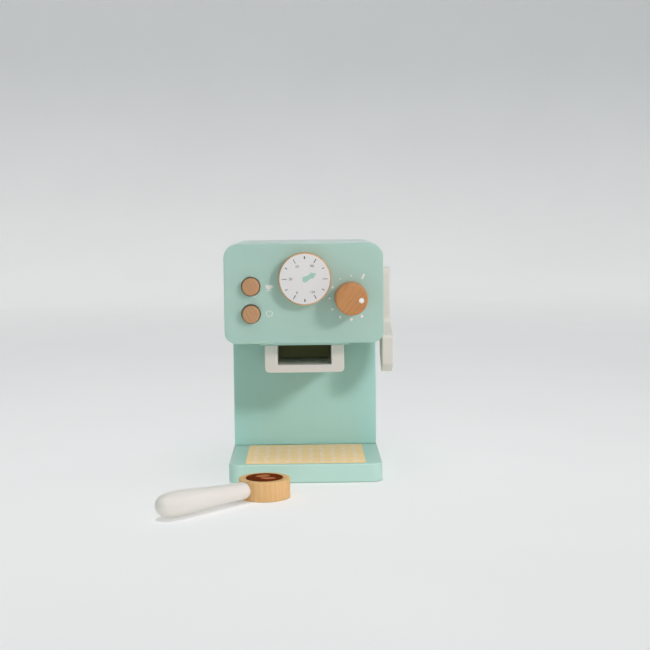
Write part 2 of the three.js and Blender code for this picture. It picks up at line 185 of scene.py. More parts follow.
def plate(outer, t0, t1, place, soft=1.0, steps=5, holes=(), hole_soft=None, grid=0):
    """A plate with rounded edges. outer and holes are loops in (u, v); place maps (u, v, t) to a point."""
    bm = bmesh.new()
    outer = [tuple(p) for p in outer]
    if area(outer) < 0:
        outer.reverse()
    fixed = []
    for h in holes:
        h = [tuple(p) for p in h]
        if area(h) > 0:
            h.reverse()
        fixed.append(h)
    lower, upper = [], []
    for k, loop in enumerate([outer] + fixed):
        s = soft if (k == 0 or hole_soft is None) else hole_soft
        rings = []
        for side in (0, 1):
            for i in range(steps + 1):
                a = i / steps * math.pi / 2
                if side == 1:
                    a = math.pi / 2 - a
                d = s * (1 - math.sin(a)) if side == 0 else s * (1 - math.sin(a))
                z = t0 + s * (1 - math.cos(a)) if side == 0 else t1 - s * (1 - math.cos(a))
                rings.append((d, z))
        # at side 0 the ring starts on the lower face, at side 1 it ends on the upper face
        made = []
        for d, z in rings:
            pts = offset_loop(loop, d) if d > 1e-6 else [Vector(p) for p in loop]
            made.append([bm.verts.new(place(p.x, p.y, z)) for p in pts])
        n = len(loop)
        for a, b in zip(made, made[1:]):
            for i in range(n):
                j = (i + 1) % n
                bm.faces.new((a[i], a[j], b[j], b[i]))
        lower.append(made[0])
        upper.append(made[-1])
    bm.edges.ensure_lookup_table()
    for cap in (lower, upper):
        edges = []
        for ring in cap:
            for i in range(len(ring)):
                e = bm.edges.get((ring[i], ring[(i + 1) % len(ring)]))
                edges.append(e)
        if len(cap) == 1:
            bm.faces.new(cap[0])
        else:
            bmesh.ops.triangle_fill(bm, use_beauty=True, use_dissolve=False, edges=edges)
    return bm


def upright(y0):
    """(u, v, t) stands up: u is X, v is Z, t runs to +Y from y0."""
    return lambda u, v, t: Vector((u, y0 + t, v))


def flat(z0):
    return lambda u, v, t: Vector((u, v, z0 + t))


def sideways(x0):
    """u is Y, v is Z, t runs to +X from x0."""
    return lambda u, v, t: Vector((x0 + t, u, v))


def smooth_profile(corners, steps=6):
    """A lathe profile: (r, y) or (r, y, fillet radius) points; each fillet becomes an arc."""
    out, n = [], len(corners)
    for i, c in enumerate(corners):
        f = c[2] if len(c) > 2 else 0
        if not f or i in (0, n - 1):
            out.append((c[0], c[1]))
            continue
        p = Vector(c[:2])
        a = (Vector(corners[i - 1][:2]) - p).normalized()
        b = (Vector(corners[i + 1][:2]) - p).normalized()
        half = math.acos(max(-1.0, min(1.0, a.dot(b)))) / 2
        ctr = p + (a + b).normalized() * (f / math.sin(half))
        s = p + a * (f / math.tan(half)) - ctr
        e = p + b * (f / math.tan(half)) - ctr
        sweep = math.atan2(s.x * e.y - s.y * e.x, s.dot(e))
        a0 = math.atan2(s.y, s.x)
        out += [
            (ctr.x + f * math.cos(a0 + sweep * k / steps), ctr.y + f * math.sin(a0 + sweep * k / steps))
            for k in range(steps + 1)
        ]
    return out


def lathe(profile, place, seg=96, bm=None):
    """Turns (r, y) points about the axis; place maps (x, y, z), y being the axis, to a point."""
    bm = bm or bmesh.new()
    rings = []
    for r, y in profile:
        if r < 1e-6:
            rings.append([bm.verts.new(place(0.0, y, 0.0))])
        else:
            rings.append([
                bm.verts.new(place(r * math.cos(2 * math.pi * i / seg), y, r * math.sin(2 * math.pi * i / seg)))
                for i in range(seg)
            ])
    for a, b in zip(rings, rings[1:]):
        if len(a) == 1 and len(b) == 1:
            continue
        for i in range(seg):
            j = (i + 1) % seg
            if len(a) == 1:
                bm.faces.new((a[0], b[j], b[i]))
            elif len(b) == 1:
                bm.faces.new((a[i], a[j], b[0]))
            else:
                bm.faces.new((a[i], a[j], b[j], b[i]))
    return bm


def along_y(x, y, z):
    return lambda a, b, c: Vector((x + a, y + b, z + c))


# ------------------------------------------------------------------ material helpers

class Nodes:
    """Small wrapper to write node trees in few lines. Coordinates are the piece's own, in millimetres."""

    def __init__(self, name):
        self.mat = bpy.data.materials.new(name)
        self.mat.use_nodes = True
        self.t = self.mat.node_tree
        self.t.nodes.clear()
        self.out = self.t.nodes.new("ShaderNodeOutputMaterial")
        self.bsdf = self.t.nodes.new("ShaderNodeBsdfPrincipled")
        self.t.links.new(self.bsdf.outputs[0], self.out.inputs[0])
        tc = self.t.nodes.new("ShaderNodeTexCoord")
        self.mm = self.mapping(tc.outputs["Object"], scale=(1000, 1000, 1000))

    def link(self, a, b):
        self.t.links.new(a, b)

    def _set(self, socket, v):
        if isinstance(v, bpy.types.NodeSocket):
            self.link(v, socket)
        else:
            socket.default_value = v

    def mapping(self, vec, loc=(0, 0, 0), rot=(0, 0, 0), scale=(1, 1, 1)):
        n = self.t.nodes.new("ShaderNodeMapping")
        n.vector_type = "POINT"
        self.link(vec, n.inputs[0])
        n.inputs["Location"].default_value = loc
        n.inputs["Rotation"].default_value = [math.radians(a) for a in rot]
        n.inputs["Scale"].default_value = scale
        return n.outputs[0]

    def noise(self, vec, scale, detail=2.0, rough=0.5, distort=0.0, colour=False):
        n = self.t.nodes.new("ShaderNodeTexNoise")
        n.noise_dimensions = "3D"
        self.link(vec, n.inputs["Vector"])
        n.inputs["Scale"].default_value = scale
        n.inputs["Detail"].default_value = detail
        n.inputs["Roughness"].default_value = rough
        n.inputs["Distortion"].default_value = distort
        return n.outputs[1 if colour else 0]

    def voronoi(self, vec, scale, feature="F1", rand=1.0):
        n = self.t.nodes.new("ShaderNodeTexVoronoi")
        n.feature = feature
        self.link(vec, n.inputs["Vector"])
        n.inputs["Scale"].default_value = scale
        n.inputs["Randomness"].default_value = rand
        return n.outputs[0], (n.outputs[1] if feature == "F1" else None)

    def math(self, op, a, b=0.0, c=0.0, clamp=False):
        n = self.t.nodes.new("ShaderNodeMath")
        n.operation = op
        n.use_clamp = clamp
        for i, v in enumerate((a, b, c)):
            self._set(n.inputs[i], v)
        return n.outputs[0]

    def vmath(self, op, a, b=(0, 0, 0)):
        n = self.t.nodes.new("ShaderNodeVectorMath")
        n.operation = op
        self._set(n.inputs[0], a)
        self._set(n.inputs[1], b)
        return n.outputs[1] if op in ("LENGTH", "DOT_PRODUCT", "DISTANCE") else n.outputs[0]

    def split(self, v):
        n = self.t.nodes.new("ShaderNodeSeparateXYZ")
        self.link(v, n.inputs[0])
        return n.outputs

    def join(self, x, y, z):
        n = self.t.nodes.new("ShaderNodeCombineXYZ")
        for i, v in enumerate((x, y, z)):
            self._set(n.inputs[i], v)
        return n.outputs[0]

    def ramp(self, fac, stops, interp="LINEAR"):
        n = self.t.nodes.new("ShaderNodeValToRGB")
        n.color_ramp.interpolation = interp
        e = n.color_ramp.elements
        while len(e) < len(stops):
            e.new(0.5)
        for el, (pos, col) in zip(e, stops):
            el.position = pos
            el.color = (*col, 1) if len(col) == 3 else col
        self.link(fac, n.inputs[0])
        return n.outputs[0]

    def map(self, v, a, b, c, d, smooth=False):
        n = self.t.nodes.new("ShaderNodeMapRange")
        n.interpolation_type = "SMOOTHSTEP" if smooth else "LINEAR"
        n.clamp = True
        self.link(v, n.inputs[0])
        for i, x in zip((1, 2, 3, 4), (a, b, c, d)):
            n.inputs[i].default_value = x
        return n.outputs[0]

    def mix(self, fac, a, b, blend="MIX"):
        n = self.t.nodes.new("ShaderNodeMix")
        n.data_type = "RGBA"
        n.blend_type = blend
        self._set(n.inputs[0], fac)
        for i, v in ((6, a), (7, b)):
            if isinstance(v, (tuple, list)):
                v = (*v, 1) if len(v) == 3 else v
            self._set(n.inputs[i], v)
        return n.outputs[2]

    def bump(self, height, distance_mm, strength=1.0, normal=None):
        n = self.t.nodes.new("ShaderNodeBump")
        n.inputs["Strength"].default_value = strength
        n.inputs["Distance"].default_value = distance_mm * MM
        self.link(height, n.inputs["Height"])
        if normal is not None:
            self.link(normal, n.inputs["Normal"])
        return n.outputs[0]

    def base(self, v):
        self._set(self.bsdf.inputs["Base Color"], v)

    def rough(self, v):
        self._set(self.bsdf.inputs["Roughness"], v)

    def normal(self, v):
        self.link(v, self.bsdf.inputs["Normal"])

    def const(self, **kw):
        names = {"metallic": "Metallic", "specular": "Specular IOR Level", "coat": "Coat Weight",
                 "coat_rough": "Coat Roughness", "sheen": "Sheen Weight", "ior": "IOR",
                 "subsurface": "Subsurface Weight", "sub_scale": "Subsurface Scale"}
        for k, v in kw.items():
            self.bsdf.inputs[names[k]].default_value = v


def srgb(r, g, b):
    def f(c):
        c /= 255.0
        return c / 12.92 if c <= 0.04045 else ((c + 0.055) / 1.055) ** 2.4
    return (f(r), f(g), f(b))


def shade(c, k):
    return tuple(min(1.0, x * k) for x in c)


def paint(name, colour, rough=0.36, dirt=0.012):
    """Sprayed satin paint on board, smooth, a little uneven in tone."""
    n = Nodes(name)
    broad = n.noise(n.mm, 0.02, 2, 0.5)
    tone = n.mix(n.map(broad, 0.3, 0.7, 0, 1), shade(colour, 1 - dirt), shade(colour, 1 + dirt))
    n.base(tone)
    n.rough(rough)
    return n.mat


def wood(name, early, late, fleck, grain=(0, 0, 0), centre=(0, 0, 0), ring=2.6, contrast=1.0, rough=0.52,
         fleck_amount=0.5, wander=3.0, dark_line=0.35, sheen_rough=0.1, specular=0.25):
    """Bare sanded wood. The grain runs along the mapped Z axis; rings are round an axis at centre, in millimetres."""
    n = Nodes(name)
    p = n.mapping(n.mm, rot=grain)
    p = n.mapping(p, loc=centre)
    # the growth rings wander slowly, mostly across the grain
    slow = n.mapping(p, scale=(0.035, 0.035, 0.007))
    push = n.vmath("SUBTRACT", n.noise(slow, 1.0, 2, 0.5, colour=True), (0.5, 0.5, 0.5))
    push = n.vmath("MULTIPLY", push, (wander * 2, wander * 2, 0))
    q = n.vmath("ADD", p, push)
    xyz = n.split(q)
    radius = n.vmath("LENGTH", n.join(xyz[0], xyz[1], 0.0))
    turns = n.math("DIVIDE", radius, ring)
    wobble = n.noise(n.mapping(p, scale=(0.3, 0.3, 0.03)), 1.0, 2, 0.5)
    turns = n.math("ADD", turns, n.map(wobble, 0.2, 0.8, -0.22, 0.22))
    phase = n.math("FRACT", turns)
    band = n.ramp(phase, [(0.0, (0.0,) * 3), (0.55, (0.18 * contrast,) * 3), (0.86, (0.55 * contrast,) * 3),
                          (0.955, (min(1, dark_line + 0.6 * contrast),) * 3), (1.0, (0.0,) * 3)], "EASE")
    # each ring has its own tone
    which = n.math("FLOOR", turns)
    tone = n.noise(n.join(which, 0.5, 3.7), 0.73, 0, 0.5)
    fibre = n.noise(n.mapping(p, scale=(3.4, 3.4, 0.11)), 1.0, 3, 0.6)
    strands = n.noise(n.mapping(p, scale=(0.9, 0.9, 0.03)), 1.0, 2, 0.5)
    amount = n.math("ADD", n.math("MULTIPLY", band, 0.62),
                    n.math("ADD", n.map(fibre, 0.3, 0.7, -0.10, 0.12), n.map(strands, 0.3, 0.7, -0.16, 0.18)))
    amount = n.math("ADD", amount, n.map(tone, 0.3, 0.7, -0.08, 0.12), clamp=True)
    colour = n.mix(amount, early, late)
    # short dark ray flecks along the grain
    fl = n.noise(n.mapping(p, scale=(2.6, 2.6, 0.34)), 1.0, 1, 0.4)
    spot = n.map(fl, 0.66, 0.74, 0, fleck_amount, smooth=True)
    colour = n.mix(spot, colour, fleck)
    n.base(colour)
    n.rough(n.math("ADD", n.map(fibre, 0.3, 0.7, rough - sheen_rough / 2, rough + sheen_rough / 2),
                   n.math("MULTIPLY", band, 0.05)))
    n.const(specular=specular)
    b = n.bump(fibre, 0.03, 0.6)
    b = n.bump(spot, 0.025, -0.5, b)
    b = n.bump(band, 0.02, -0.35, b)
    n.normal(b)
    return n.mat


def ink(name, colour, rough=0.5, specular=0.3):
    """Screen-printed ink: near flat, with the uneven edge density that a squeegee leaves."""
    n = Nodes(name)
    a = n.noise(n.mm, 1.3, 3, 0.6)
    n.base(n.mix(n.map(a, 0.3, 0.7, 0, 1), shade(colour, 0.93), shade(colour, 1.06)))
    n.rough(n.map(a, 0.3, 0.7, rough - 0.05, rough + 0.05))
    n.const(specular=specular)
    n.normal(n.bump(n.noise(n.mm, 5.0, 2), 0.006, 0.5))
    return n.mat


def metal(name, colour, rough=0.32):
    n = Nodes(name)
    a = n.noise(n.mm, 1.1, 3, 0.6)
    s = n.noise(n.mapping(n.mm, scale=(9, 0.6, 9)), 1.0, 2, 0.5)
    n.base(n.mix(n.map(a, 0.3, 0.7, 0, 1), shade(colour, 0.9), shade(colour, 1.05)))
    n.rough(n.math("ADD", n.map(a, 0.3, 0.7, rough - 0.06, rough + 0.08), n.map(s, 0.3, 0.7, -0.04, 0.04)))
    n.const(metallic=1.0)
    n.normal(n.bump(s, 0.01, 0.4))
    return n.mat


# ------------------------------------------------------------------ materials

MINT_RGB = srgb(176, 213, 200)
CREAM_RGB = srgb(221, 218, 208)
WHITE_RGB = srgb(227, 229, 227)

mint = paint("mint_paint", MINT_RGB, rough=0.28)
# the column's front board gets the mint painted a trace deeper and greener than the rest: painted shade for the head's
# shade over it
mint_column_painted_shade = paint("mint_paint_column_painted_shade", srgb(167, 211, 199), rough=0.28)
cream = paint("cream_paint", CREAM_RGB, rough=0.4, dirt=0.015)
handle_cream = paint("cream_handle_paint", srgb(239, 236, 228), rough=0.36, dirt=0.012)
# dark olive paint on the slot's back stop: painted shade for the unlit inside of the slot
slot_stop_painted_shade = paint("slot_stop_paint_painted_shade", srgb(146, 146, 96), rough=0.7, dirt=0.06)

beech_knob = wood("beech_knob", srgb(198, 144, 93), srgb(166, 105, 58), srgb(114, 69, 38),
                  grain=(0, -38, 0), centre=(26, 90, 0), ring=3.6, contrast=0.5, fleck_amount=0.3, wander=4)
beech_dial = wood("beech_dial", srgb(222, 176, 120), srgb(186, 128, 78), srgb(130, 82, 48),
                  grain=(0, 12, 0), centre=(30, 90, 0), ring=3.8, fleck_amount=0.4)
beech_button = wood("beech_button", srgb(195, 153, 114), srgb(168, 118, 79), srgb(118, 76, 48),
                    grain=(0, 30, 0), centre=(40, 70, 0), ring=3.4, contrast=0.6, fleck_amount=0.3)
pale = wood("pale_wood_upright", srgb(240, 198, 140), srgb(222, 170, 108), srgb(168, 112, 62),
            grain=(0, 0, 0), centre=(70, 170, 0), ring=5.5, contrast=0.6, fleck_amount=0.2, wander=5, specular=0.08)
pale_bar = wood("pale_wood_bar", srgb(236, 200, 150), srgb(208, 160, 106), srgb(150, 100, 58),
                grain=(90, 0, 0), centre=(3, 2, 0), ring=1.8)
ply = wood("plywood_inner", srgb(222, 192, 150), srgb(190, 150, 104), srgb(130, 90, 58),
           grain=(0, 90, 0), centre=(0, 40, 0), ring=3.0)

steel = metal("zinc_plated_steel", srgb(188, 190, 192), 0.34)
spring_steel = metal("spring_wire", srgb(150, 150, 152), 0.28)
nylon = paint("nylon", srgb(236, 234, 226), rough=0.42, dirt=0.01)

ink_dark = ink("dial_ink_dark", srgb(72, 76, 80))
ink_grey = ink("dial_ink_grey", srgb(128, 132, 134))
ink_mint = ink("dial_ink_mint", srgb(166, 208, 191))
ink_white = ink("panel_ink_white", srgb(244, 247, 243))


def coffee_material():
    """Satin brown paint with the fine speckle of ground coffee."""
    n = Nodes("coffee_brown")
    a = n.noise(n.mm, 0.22, 3, 0.6)
    s = n.noise(n.mm, 2.2, 2, 0.6)
    c = n.mix(n.map(a, 0.3, 0.7, 0, 1), srgb(104, 46, 24), srgb(120, 55, 28))
    c = n.mix(n.map(s, 0.56, 0.7, 0, 0.5), c, srgb(76, 30, 16))
    n.base(c)
    n.rough(n.map(s, 0.3, 0.7, 0.5, 0.62))
    n.const(specular=0.0)
    n.normal(n.bump(s, 0.03, 0.6))
    return n.mat


def mat_material():
    """Thin printed sheet: warm yellow ink on a faint fibre ground."""
    n = Nodes("mat_print")
    a = n.noise(n.mm, 0.05, 2, 0.6)
    f = n.noise(n.mapping(n.mm, scale=(0.5, 3.0, 1)), 1.0, 3, 0.6)
    g = n.noise(n.mm, 3.0, 2, 0.6)
    c = n.mix(n.map(a, 0.3, 0.7, 0, 1), srgb(246, 218, 162), srgb(240, 211, 156))
    c = n.mix(n.map(f, 0.4, 0.75, 0, 0.35), c, srgb(230, 201, 146))
    n.base(c)
    n.rough(n.map(g, 0.3, 0.7, 0.52, 0.62))
    n.normal(n.bump(g, 0.012, 0.6, n.bump(f, 0.01, 0.4)))
    return n.mat


coffee = coffee_material()
mat_print = mat_material()
dash_ink = ink("mat_dash_ink", srgb(244, 226, 212))
bean_ink = ink("bean_ink", srgb(200, 126, 82), specular=0.0)
bean_line = ink("bean_line_ink", srgb(112, 50, 26), specular=0.0)

# ------------------------------------------------------------------ base

FRONT, BACK = -90.0, 90.0

finish_mesh("base", plate(
    rounded_rect(-77.7, FRONT, 77.7, BACK, 12, 12, 5, 5, 16), 0, 19, flat(0), soft=1.5, steps=6,
    holes=[circle(x, y, 3.9, 32) for x in (-73, 73) for y in (36, 74)], hole_soft=0.25),
    "machine", ["base_board"], [mint])

MAT_Z = 19.65
finish_mesh("mat_sheet", plate(
    rounded_rect(-60.8, -85, 60.8, 15.6, 0.8, 0.8, 0.8, 0.8, 4), 0, 0.6, flat(19.05), soft=0.12, steps=2),
    "machine", ["drip_mat"], [mat_print])


def dashes():
    """Ten columns of short pale strokes printed on the mat."""
    bm = bmesh.new()
    for c in range(10):
        x = -51.3 + c * 11.4
        for r in range(7):
            y = -76.5 + r * 13.4
            w = 4.6 - 0.25 * ((c * 3 + r * 5) % 3)
            h = 5.6 - 0.5 * ((c + r * 2) % 3)
            skew = 0.25 * (((c * 7 + r * 3) % 5) - 2)
            part = plate(rounded_rect(x - w / 2 + skew, y - h / 2, x + w / 2 + skew, y + h / 2, 0.9, 0.9, 0.9, 0.9, 4),
                         0.0, 0.07, flat(MAT_Z - 0.03), soft=0.02, steps=1)
            tmp = bpy.data.meshes.new("tmp")
            part.to_mesh(tmp)
            part.free()
            bm.from_mesh(tmp)
            bpy.data.meshes.remove(tmp)
    return bm


finish_mesh("mat_dashes", dashes(), "machine", mats=[dash_ink])

# ------------------------------------------------------------------ column

COL_Z0, COL_Z1 = 19.2, 140.8
finish_mesh("column_front", plate(
    rounded_rect(-77, COL_Z0, 77, COL_Z1, 0.6, 0.6, 0.6, 0.6, 3), 0, 9, upright(20), soft=0.7, steps=4),
    "machine", ["column_front_panel"], [mint_column_painted_shade])
for side, x0 in (("left", -77), ("right", 69)):
    finish_mesh(f"column_{side}", plate(
        rounded_rect(29.2, COL_Z0, 80.0, COL_Z1, 0, 0, 0, 0), 0, 8, sideways(x0), soft=0.35, steps=3),
        "machine", [f"column_side_{side}"], [mint])
finish_mesh("column_back", plate(
    rounded_rect(-77, COL_Z0, 77, COL_Z1, 0.6, 0.6, 0.6, 0.6, 3), 0, 9.8, upright(80.2), soft=0.7, steps=4,
    holes=[circle(x, z, 3.9, 32) for x in (-73, 73) for z in (44, 118)], hole_soft=0.25),
    "machine", ["column_back_panel"], [mint])

# ------------------------------------------------------------------ head


def head_outline(inset=0.0, seg=18):
    return rounded_rect(-79.1 + inset, 141 + inset, 79.1 - inset, 240.5 - inset,
                        11.5 - inset, 11.5 - inset, 14.5 - inset, 14.5 - inset, seg)


BUTTON_X, BUTTON_Z = -52.4, {"upper": 198.1, "lower": 170.8}
DIAL = (1.1, 205.6)
KNOB = (46.7, 185.9)

finish_mesh("head_front", plate(
    head_outline(), 0, 10, upright(FRONT), soft=1.2, steps=6,
    holes=[circle(BUTTON_X, z, 9.6, 72) for z in BUTTON_Z.values()]
    + [circle(DIAL[0], DIAL[1], 5.3, 32), circle(KNOB[0], KNOB[1], 5.3, 32)], hole_soft=0.35),
    "machine", ["head_front_panel"], [mint])
finish_mesh("head_body", plate(
    head_outline(), 0, 159.8, upright(-79.8), soft=0.35, steps=3,
    holes=[rounded_rect(-71.1, 149, 71.1, 232.5, 3.5, 3.5, 6.5, 6.5, 8)], hole_soft=0.2),
    "machine", ["head_shell"], [mint])
finish_mesh("head_back", plate(
    head_outline(), 0, 9.8, upright(80.2), soft=1.1, steps=5,
    holes=[circle(x, z, 3.9, 32) for x in (-75, 75) for z in (172, 214)], hole_soft=0.25),
    "machine", ["head_back_panel"], [mint])

# ------------------------------------------------------------------ filter holder

finish_mesh("holder_plate", plate(
    rounded_rect(-45.25, -70, 45.25, 8, 2, 2, 2, 2, 6), 0, 3.6, flat(137.2), soft=0.6, steps=4),
    "machine", ["holder_flange"], [mint])
HOLD = filleted([
    (-40.2, 137.0, 0), (-40.2, 109.1, 4.5), (40.2, 109.1, 4.5), (40.2, 137.0, 0),
    (27.2, 137.0, 0), (27.2, 117.1, 0.8), (-27.2, 117.1, 0.8), (-27.2, 137.0, 0)], 10)
finish_mesh("holder_bracket", plate(HOLD, 0, 74, upright(-68), soft=0.9, steps=5),
            "machine", ["filter_holder"], [cream])
finish_mesh("holder_stop", plate(
    rounded_rect(-26.9, 117.45, 26.9, 136.75, 0.5, 0.5, 0.5, 0.5, 3), 0, 12, upright(-6.7), soft=0.4, steps=3),
    "machine", ["holder_back_stop"], [slot_stop_painted_shade])

# ------------------------------------------------------------------ dial

DX, DZ = DIAL
finish_mesh("dial_wood", lathe(smooth_profile([
    (0, -11.5), (25.85, -11.5, 1.3), (25.85, -0.5, 0.7), (5.2, -0.5), (5.2, -5.0), (0, -5.0)], 8),
    along_y(DX, FRONT, DZ), 128), "dial", ["dial_disc"], [beech_dial])
finish_mesh("dial_face", lathe(smooth_profile([
    (0, -11.62), (24.75, -11.62, 0.12), (24.75, -11.3), (0, -11.3)], 3),
    along_y(DX, FRONT, DZ), 128), "dial", mats=[paint("dial_white", WHITE_RGB, rough=0.42, dirt=0.01)])

FACE_Y = FRONT - 11.62


def print_piece(name, loops, y, thick, body, material, soft=0.0):
    """Flat printed shapes on an upright face: each loop is a list of (x, z)."""
    bm = bmesh.new()
    for loop in loops:
        part = plate(loop, -thick, 0.03, upright(y), soft=0.015, steps=1)
        tmp = bpy.data.meshes.new("tmp")
        part.to_mesh(tmp)
        part.free()
        bm.from_mesh(tmp)
        bpy.data.meshes.remove(tmp)
    return finish_mesh(name, bm, body, mats=[material])


def radial_tick(cx, cz, hour, r0, r1, w):
    a = math.radians(90 - 30 * hour)
    d, n = Vector((math.cos(a), math.sin(a))), Vector((-math.sin(a), math.cos(a)))
    c = Vector((cx, cz))
    return [tuple(c + d * r + n * s) for r, s in ((r0, -w / 2), (r1, -w / 2), (r1, w / 2), (r0, w / 2))]


bold = [radial_tick(DX, DZ, h, 19.6, 22.4, 1.15) for h in (12, 6)]
long_dark = [radial_tick(DX, DZ, h, 18.2, 22.6, 0.8) for h in (1, 5, 7)]
short_dark = [radial_tick(DX, DZ, h, 19.7, 22.3, 0.75) for h in (2, 4, 8, 10)]
long_grey = [radial_tick(DX, DZ, h, 17.7, 22.5, 0.7) for h in (3, 9, 11)]
print_piece("dial_ticks_dark", bold + long_dark + short_dark, FACE_Y, 0.05, "dial", ink_dark)
print_piece("dial_ticks_grey", long_grey, FACE_Y, 0.05, "dial", ink_grey)

# pointer printed on the face
ARROW = [(-2.1, 1.5), (-2.3, -1.5), (-1.3, -2.9), (0.3, -3.4), (1.5, -3.0), (6.2, 0.55), (8.2, 0.5), (11.3, 5.4),
         (6.3, 6.4), (5.0, 5.0), (3.7, 3.75), (0.6, 2.6), (-1.1, 2.3)]
print_piece("dial_pointer", [[(DX + x, DZ + z) for x, z in ARROW]], FACE_Y, 0.05, "dial", ink_mint)


def number(name, text, x, z, size, y, body, material):
    """Plain figures as flat print."""
    cu = bpy.data.curves.new(name, "FONT")
    cu.body = text
    cu.size = size * MM
    cu.align_x, cu.align_y = "CENTER", "CENTER"
    cu.extrude = 0.03 * MM
    cu.resolution_u = 6
    src = bpy.data.objects.new(name + "_src", cu)
    bpy.context.scene.collection.objects.link(src)
    bpy.context.view_layer.update()
    dg = bpy.context.evaluated_depsgraph_get()
    me = bpy.data.meshes.new_from_object(src.evaluated_get(dg))
    me.name = name
    bpy.data.objects.remove(src)
    me.transform(Matrix.Translation((x * MM, y * MM, z * MM)) @ Matrix.Rotation(math.radians(90), 4, "X"))
    me.materials.clear()
    me.materials.append(material)
    obj = bpy.data.objects.new(name, me)
    bpy.context.scene.collection.objects.link(obj)
    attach(obj, body)
    return obj


for text, hour, r, size, material in (("0", 7, 15.6, 3.6, ink_dark), ("30", 9, 13.9, 3.6, ink_dark),
                                      ("60", 11, 14.2, 3.8, ink_grey), ("90", 1, 14.6, 3.8, ink_dark),
                                      ("150", 5, 14.9, 3.3, ink_dark)):
    a = math.radians(90 - 30 * hour)
    number(f"dial_number_{text}", text, DX + r * math.cos(a), DZ + r * math.sin(a), size, FACE_Y - 0.02,
           "dial", material)

# ------------------------------------------------------------------ knob

KX, KZ = KNOB


def knob_mesh():
    """Tapered knob whose front face has a shallow drilled dimple for the painted dot."""
    profile = smooth_profile([
        (13.0, -26), (15.7, -26, 1.6), (16.4, -0.5, 0.8), (5.2, -0.5), (5.2, -16), (0, -16)], 8)
    bm = lathe(profile, along_y(KX, FRONT, KZ), 128)
    ring = [v for v in bm.verts if abs(v.co.y - (FRONT - 26)) < 1e-6 and abs(math.hypot(v.co.x - KX, v.co.z - KZ) - 13.0) < 1e-3]
    ring.sort(key=lambda v: math.atan2(v.co.z - KZ, v.co.x - KX))
    hx, hz, r = KX + 9.5, KZ - 1.2, 2.65
    loops = []
    for rr, dy in ((r + 0.25, 0.0), (r + 0.06, 0.06), (r, 0.3), (r - 0.02, 0.55)):
        loops.append([bm.verts.new((hx + rr * math.cos(2 * math.pi * i / 40), FRONT - 26 + dy,
                                    hz + rr * math.sin(2 * math.pi * i / 40))) for i in range(40)])
    for a, b in zip(loops, loops[1:]):
        for i in range(40):
            j = (i + 1) % 40
            bm.faces.new((a[i], a[j], b[j], b[i]))
    bm.faces.new(loops[-1])
    outer = [bm.edges.get((ring[i], ring[(i + 1) % len(ring)])) for i in range(len(ring))]
    inner = [bm.edges.get((loops[0][i], loops[0][(i + 1) % 40])) for i in range(40)]
    bmesh.ops.triangle_fill(bm, use_beauty=True, edges=outer + inner)
    return bm


finish_mesh("knob_wood", knob_mesh(), "knob", ["knob"], [beech_knob])
finish_mesh("knob_dot", lathe(smooth_profile([(0, -0.18), (1.6, -0.14), (2.3, -0.06), (2.6, 0.08), (2.6, 0.2), (0, 0.2)], 3),
                              along_y(KX + 9.5, FRONT - 25.6, KZ - 1.2), 48),
            "knob", mats=[ink_white])

# marks printed round the knob
MARKS = [(0.5, 21.9, 0.8, 0.8), (-10.2, 19.0, 0.8, 0.8), (-18.0, 10.6, 1.0, 1.0), (-21.2, -0.4, 1.05, 1.05),
         (-18.5, -11.2, 1.35, 1.1), (-10.7, -19.0, 1.1, 1.5), (0.3, -21.4, 1.45, 1.5), (10.9, -18.4, 1.35, 1.6)]
loops = []
for x, z, a, b in MARKS:
    loops.append([(KX + x + a * math.cos(2 * math.pi * i / 24), KZ + z + b * math.sin(2 * math.pi * i / 24)) for i in range(24)])
bar_c, bar_a = Vector((KX + 12.3, KZ + 21.0)), math.radians(66)
bd, bn = Vector((math.cos(bar_a), math.sin(bar_a))), Vector((-math.sin(bar_a), math.cos(bar_a)))
loops.append([tuple(bar_c + bd * u + bn * v) for u, v in ((-2.7, -0.62), (-2.2, -0.8), (2.3, -1.05), (2.9, -0.6), (2.9, 0.6), (2.3, 1.05), (-2.2, 0.8), (-2.7, 0.62))])
print_piece("panel_marks", loops, FRONT, 0.05, "machine", ink_white)

# ------------------------------------------------------------------ buttons

for which, z in BUTTON_Z.items():
    n = f"button_{which}"
    finish_mesh(n + "_wood", lathe(smooth_profile([
        (0, -7.0), (7.3, -7.0, 0.5), (8.75, -5.75, 0.5), (8.75, 10.4), (12, 10.4, 0.3), (12, 13.4, 0.3), (3.4, 13.4),
        (3.4, 18.4, 0.5), (0, 19.0)], 7), along_y(BUTTON_X, FRONT, z), 96),
        f"{which}_button", [n], [beech_button])


def ring_arc(cx, cz, r0, r1, a0, a1, seg=14):
    out = [(cx + r1 * math.cos(math.radians(a0 + (a1 - a0) * i / seg)), cz + r1 * math.sin(math.radians(a0 + (a1 - a0) * i / seg))) for i in range(seg + 1)]
    back = [(cx + r0 * math.cos(math.radians(a1 + (a0 - a1) * i / seg)), cz + r0 * math.sin(math.radians(a1 + (a0 - a1) * i / seg))) for i in range(seg + 1)]
    return out + back


# cup sign beside the upper button: a bowl on a saucer with an ear
cx, cz = -34.3, 196.9
cup = [(cx - 3.4, cz + 2.6), (cx - 3.2, cz + 0.6), (cx - 2.4, cz - 1.2), (cx - 1.2, cz - 2.1), (cx + 1.0, cz - 2.1),
       (cx + 2.2, cz - 1.2), (cx + 3.0, cz + 0.6), (cx + 3.2, cz + 2.6)]
ear = ring_arc(cx + 3.3, cz + 0.9, 0.75, 1.35, -80, 85, 10)
saucer = [(cx - 2.9, cz - 3.4), (cx + 2.7, cz - 3.4), (cx + 2.7, cz - 2.8), (cx - 2.9, cz - 2.8)]
print_piece("sign_cup", [cup, ear, saucer], FRONT, 0.05, "machine", ink_white)
